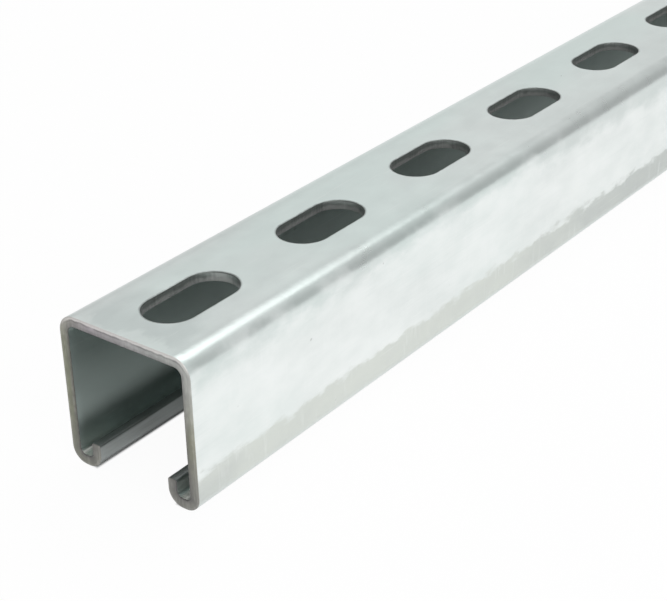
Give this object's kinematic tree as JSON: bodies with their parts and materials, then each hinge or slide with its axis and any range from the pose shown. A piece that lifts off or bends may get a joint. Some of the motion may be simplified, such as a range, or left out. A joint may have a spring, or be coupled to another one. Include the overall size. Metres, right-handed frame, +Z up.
{
  "type": "slotted strut channel",
  "caption": "Roll-formed galvanised steel channel with in-turned lips and a slotted web, for building frames, racks and pipe or cable supports.",
  "frame": {"origin": "middle of the length, centred across the width, on the plane of the lips' undersides", "axes": "+X along the length, away from the cut end whose first slot is centred 24 mm in; +Z up, from the open lipped side to the slotted web; Y across the channel"},
  "size_m": [0.6096, 0.0412, 0.0413],
  "materials": {
    "galvanised_steel": "satin pre-galvanised zinc, smooth, light grey with a faint cloudy bloom"
  },
  "bodies": {
    "root": {"strut_channel": "galvanised_steel"}
  },
  "joints": []
}
